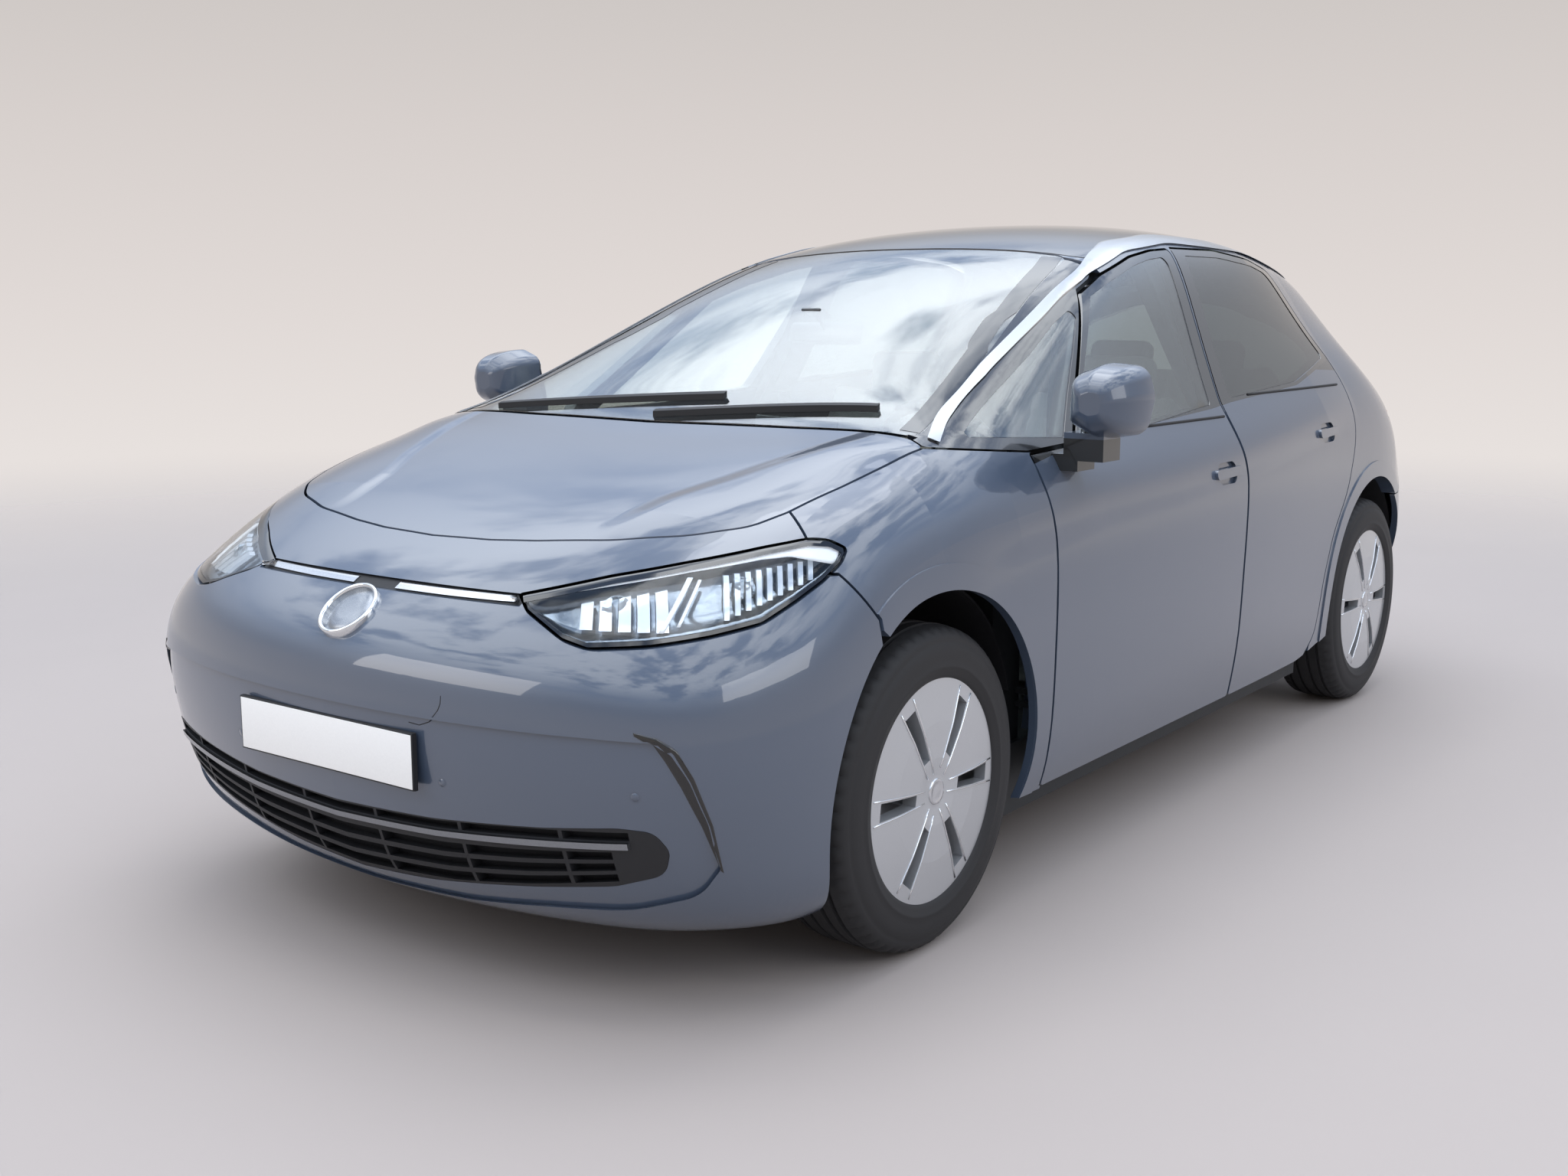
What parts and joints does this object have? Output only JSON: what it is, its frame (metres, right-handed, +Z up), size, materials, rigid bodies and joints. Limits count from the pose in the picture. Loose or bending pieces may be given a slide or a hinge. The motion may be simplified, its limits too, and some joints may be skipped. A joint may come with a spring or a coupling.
{
  "type": "hatchback car",
  "caption": "Five-door electric hatchback with a rounded nose, black roof, hinged doors, bonnet and tailgate, steered front wheels and spinning road wheels.",
  "frame": {"origin": "on the ground, midway between nose and tail, on the centre line", "axes": "+Z up, -Y to the nose, +X to the car's left side"},
  "size_m": [2.0668, 4.2633, 1.5639],
  "materials": {
    "body_paint": "gloss",
    "black_paint": "gloss",
    "silver_trim": "satin",
    "body_steel": "satin",
    "black_plastic": "matte",
    "glass": "gloss",
    "tinted_glass": "gloss",
    "lamp_lens": "gloss",
    "red_lens": "gloss",
    "aluminium": "satin",
    "tyre": "matte",
    "wheel_silver": "satin",
    "seat_cloth": "matte"
  },
  "bodies": {
    "body": {"underbody": "body_steel", "battery_case": "aluminium", "side_frames": "body_steel", "body_sides": "body_paint", "roof_panel": "black_paint", "roof_strips": "silver_trim", "windscreen_pillars": "black_paint", "windscreen": "glass", "quarter_glass": "tinted_glass", "fenders": "body_paint", "nose_panel": "body_paint", "front_bumper": "body_paint", "lower_grille": "black_plastic", "light_bar": "black_plastic", "headlamps": "lamp_lens", "rear_bumper": "body_paint", "tail_lamps": "red_lens", "lid_hinges": "body_steel", "front_tray": "black_plastic", "front_subframe": "body_steel", "front_struts": "body_steel", "rear_suspension": "body_steel", "drive_motor": "aluminium", "front_liners": "black_plastic", "rear_liners": "black_plastic", "dashboard": "black_plastic", "steering_wheel": "black_plastic", "seat_left": "seat_cloth", "seat_right": "seat_cloth", "rear_seat": "seat_cloth", "wipers": "black_plastic", "plate_holder": "black_plastic", "front_carrier": "black_plastic", "bumper_foam": "black_plastic", "grille_bar": "silver_trim"},
    "bonnet": {"bonnet": "body_paint"},
    "tailgate": {"tailgate": "body_paint", "tailgate_glass": "tinted_glass", "tailgate_lamps": "red_lens"},
    "front_door_left": {"front_door_left": "body_paint", "front_door_glass_left": "glass", "door_mirror_left": "body_paint"},
    "rear_door_left": {"rear_door_left": "body_paint", "rear_door_glass_left": "tinted_glass"},
    "knuckle_left": {"knuckle_left": "body_steel"},
    "wheel_front_left": {"tyre_front_left": "tyre", "wheel_front_left": "wheel_silver"},
    "wheel_rear_left": {"tyre_rear_left": "tyre", "wheel_rear_left": "wheel_silver"},
    "front_door_right": {"front_door_right": "body_paint", "front_door_glass_right": "glass", "door_mirror_right": "body_paint"},
    "rear_door_right": {"rear_door_right": "body_paint", "rear_door_glass_right": "tinted_glass"},
    "knuckle_right": {"knuckle_right": "body_steel"},
    "wheel_front_right": {"tyre_front_right": "tyre", "wheel_front_right": "wheel_silver"},
    "wheel_rear_right": {"tyre_rear_right": "tyre", "wheel_rear_right": "wheel_silver"}
  },
  "joints": [
    {"name": "bonnet_hinge", "type": "hinge", "parent": "body", "child": "bonnet", "pos_m": [0, -1.068, 1.012], "axis": [-1, 0, 0], "range_deg": [0, 45]},
    {"name": "tailgate_hinge", "type": "hinge", "parent": "body", "child": "tailgate", "pos_m": [0, 1.739, 1.41107], "axis": [1, 0, 0], "range_deg": [0, 75]},
    {"name": "front_door_left_hinge", "type": "hinge", "parent": "body", "child": "front_door_left", "pos_m": [0.8436, -0.775, 0.6], "axis": [0, 0, -1], "range_deg": [0, 65]},
    {"name": "rear_door_left_hinge", "type": "hinge", "parent": "body", "child": "rear_door_left", "pos_m": [0.83611, 0.341, 0.6], "axis": [0, 0, -1], "range_deg": [0, 65]},
    {"name": "front_door_right_hinge", "type": "hinge", "parent": "body", "child": "front_door_right", "pos_m": [-0.8436, -0.775, 0.6], "axis": [0, 0, 1], "range_deg": [0, 65]},
    {"name": "rear_door_right_hinge", "type": "hinge", "parent": "body", "child": "rear_door_right", "pos_m": [-0.83611, 0.341, 0.6], "axis": [0, 0, 1], "range_deg": [0, 65]},
    {"name": "steering_left", "type": "hinge", "parent": "body", "child": "knuckle_left", "pos_m": [0.725, -1.286, 0.342], "axis": [0, 0, 1], "range_deg": [-35, 35]},
    {"name": "steering_right", "type": "hinge", "parent": "body", "child": "knuckle_right", "pos_m": [-0.725, -1.286, 0.342], "axis": [0, 0, 1], "range_deg": [-35, 35]},
    {"name": "wheel_front_left_spin", "type": "hinge", "parent": "knuckle_left", "child": "wheel_front_left", "pos_m": [0.77, -1.286, 0.342], "axis": [1, 0, 0], "continuous": true},
    {"name": "wheel_rear_left_spin", "type": "hinge", "parent": "body", "child": "wheel_rear_left", "pos_m": [0.7565, 1.484, 0.342], "axis": [1, 0, 0], "continuous": true},
    {"name": "wheel_front_right_spin", "type": "hinge", "parent": "knuckle_right", "child": "wheel_front_right", "pos_m": [-0.77, -1.286, 0.342], "axis": [1, 0, 0], "continuous": true},
    {"name": "wheel_rear_right_spin", "type": "hinge", "parent": "body", "child": "wheel_rear_right", "pos_m": [-0.7565, 1.484, 0.342], "axis": [1, 0, 0], "continuous": true}
  ],
  "couplings": [
    {"joint": "steering_right", "follows": "steering_left", "ratio": 1}
  ]
}
